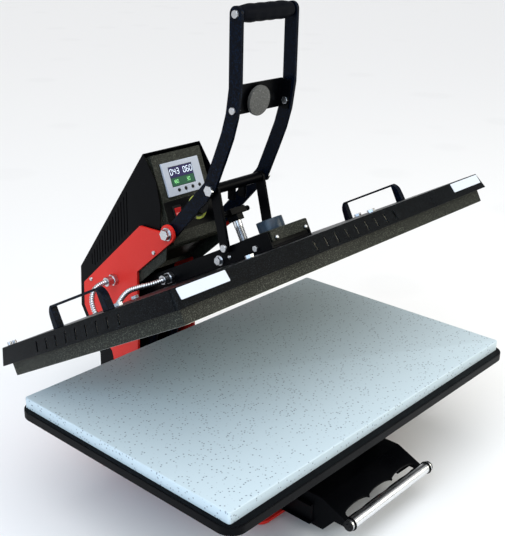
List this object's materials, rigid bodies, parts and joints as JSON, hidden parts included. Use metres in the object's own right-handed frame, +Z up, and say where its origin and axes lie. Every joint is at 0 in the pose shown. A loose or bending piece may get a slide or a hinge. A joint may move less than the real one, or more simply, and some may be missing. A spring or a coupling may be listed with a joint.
{
  "type": "large format heat press",
  "caption": "Clamshell heat press with a tilting heated platen, a padded slide-out lower platen, toggle lever and control tower",
  "frame": {"origin": "centre of the bounding box on the surface that the rubber feet stand on", "axes": "+X to the operator's right, +Y from the operator towards the tower, +Z up"},
  "size_m": [0.85, 0.7795, 0.8925],
  "materials": {
    "red_coat": "satin bright red powder coat",
    "black_coat": "hammered black powder coat",
    "zinc": "zinc plated steel",
    "slide_black": "black painted steel rail",
    "bolt_steel": "bright plated steel",
    "tube_steel": "brushed stainless tube",
    "conduit_steel": "galvanised interlocked hose",
    "rubber": "matte black rubber",
    "foam": "closed cell foam",
    "silicone": "speckled pale blue-grey silicone sponge",
    "black_plastic": "black moulded plastic",
    "white_plastic": "pale grey moulded plastic",
    "red_plastic": "red rocker plastic",
    "screen": "lit display window",
    "dial_print": "yellow-green printed ring",
    "board": "printed circuit board",
    "heater_alloy": "coated cast aluminium platen",
    "plate_alloy": "black coated aluminium plate",
    "insulation": "ceramic fibre blanket",
    "bronze": "sintered bronze",
    "magnet_blue": "blue-grey potted magnet",
    "disc_grey": "matte grey phosphated steel",
    "label_white": "blank white label plate"
  },
  "bodies": {
    "base": {"base_plate": "red_coat", "rubber_feet": "rubber", "slide_beams": "red_coat", "slide_outer": "slide_black", "side_plate_left": "red_coat", "side_plate_right": "red_coat", "tower_screws": "bolt_steel", "front_guard": "black_coat", "tower_cover": "black_coat", "power_inlet": "black_plastic", "control_panel": "black_coat", "display_bezel": "white_plastic", "display_screen": "screen", "switch_frame": "black_plastic", "dial_plate": "dial_print", "control_board": "board", "tower_pins": "bolt_steel", "lever_pivot_bolts": "bolt_steel", "conduit_gland_base": "bolt_steel", "conduit": "conduit_steel"},
    "drawer": {"carriage": "black_coat", "pull_tube": "tube_steel", "tube_caps": "black_plastic", "slide_inner": "slide_black", "support_frame": "black_coat", "lower_plate": "plate_alloy", "silicone_pad": "silicone"},
    "upper_platen": {"platen_cover": "black_coat", "heating_plate": "heater_alloy", "plate_skirt": "black_coat", "insulation_board": "insulation", "heating_element": "zinc", "platen_studs": "bolt_steel", "arm_channel": "black_coat", "hinge_bushes": "bronze", "channel_bolts": "bolt_steel", "magnet_box": "black_coat", "electromagnet": "magnet_blue", "pressure_screw": "bolt_steel", "cross_head": "black_coat", "carry_handles": "black_coat", "label_plates": "label_white", "conduit_gland_platen": "bolt_steel"},
    "press_handle": {"lever_bars": "black_coat", "latch_disc": "disc_grey", "cross_plate": "black_coat", "lever_bolts": "bolt_steel", "knee_shaft": "black_coat", "grip_core": "bolt_steel", "foam_grip": "foam"},
    "link_arms": {"links": "black_coat", "link_bolts": "bolt_steel"},
    "gas_tubes": {"gas_cylinders": "black_coat"},
    "gas_pistons": {"gas_rods": "tube_steel"},
    "switch_rocker": {"power_rocker": "red_plastic"},
    "pressure_knob": {"dial_knob": "black_plastic"},
    "display_button_1": {"button_1": "black_plastic"},
    "display_button_2": {"button_2": "black_plastic"},
    "display_button_3": {"button_3": "black_plastic"},
    "display_button_4": {"button_4": "black_plastic"}
  },
  "joints": [
    {"name": "platen_hinge", "type": "hinge", "parent": "base", "child": "upper_platen", "pos_m": [0, 0.22875, 0.228], "axis": [1, 0, 0], "range_deg": [0, 28.66], "deforming": ["conduit"]},
    {"name": "handle_lever", "type": "hinge", "parent": "base", "child": "press_handle", "pos_m": [0, 0.10575, 0.458], "axis": [1, 0, 0], "range_deg": [0, 84]},
    {"name": "link_swing", "type": "hinge", "parent": "press_handle", "child": "link_arms", "pos_m": [0, 0.00075, 0.564], "axis": [1, 0, 0], "range_deg": [-129.13, 0]},
    {"name": "gas_tilt", "type": "hinge", "parent": "base", "child": "gas_tubes", "pos_m": [0, 0.24275, 0.052], "axis": [1, 0, 0], "range_deg": [0, 8.92]},
    {"name": "gas_stroke", "type": "slide", "parent": "gas_tubes", "child": "gas_pistons", "axis": [0, -0.2096, 0.9778], "range_m": [-0.0185, 0]},
    {"name": "drawer_slide", "type": "slide", "parent": "base", "child": "drawer", "axis": [0, -1, 0], "range_m": [0, 0.3]},
    {"name": "rocker_tilt", "type": "hinge", "parent": "base", "child": "switch_rocker", "pos_m": [-0.036, 0.12411, 0.48667], "axis": [1, 0, 0], "range_deg": [-16, 0]},
    {"name": "dial_turn", "type": "hinge", "parent": "base", "child": "pressure_knob", "pos_m": [0.017, 0.12385, 0.48602], "axis": [0, -0.9304, 0.3665], "range_deg": [0, 270]},
    {"name": "button_1_press", "type": "slide", "parent": "base", "child": "display_button_1", "axis": [0, 0.9304, -0.3665], "range_m": [0, 0.0012], "stiffness_N_per_m": 400, "springref_m": -0.0003},
    {"name": "button_2_press", "type": "slide", "parent": "base", "child": "display_button_2", "axis": [0, 0.9304, -0.3665], "range_m": [0, 0.0012], "stiffness_N_per_m": 400, "springref_m": -0.0003},
    {"name": "button_3_press", "type": "slide", "parent": "base", "child": "display_button_3", "axis": [0, 0.9304, -0.3665], "range_m": [0, 0.0012], "stiffness_N_per_m": 400, "springref_m": -0.0003},
    {"name": "button_4_press", "type": "slide", "parent": "base", "child": "display_button_4", "axis": [0, 0.9304, -0.3665], "range_m": [0, 0.0012], "stiffness_N_per_m": 400, "springref_m": -0.0003}
  ],
  "couplings": [
    {"joint": "handle_lever", "follows": "platen_hinge", "ratio": 2.9309},
    {"joint": "link_swing", "follows": "platen_hinge", "ratio": -4.5039},
    {"joint": "gas_tilt", "follows": "platen_hinge", "ratio": 0.3107},
    {"joint": "gas_stroke", "follows": "platen_hinge", "m_per_rad": -0.03688}
  ]
}
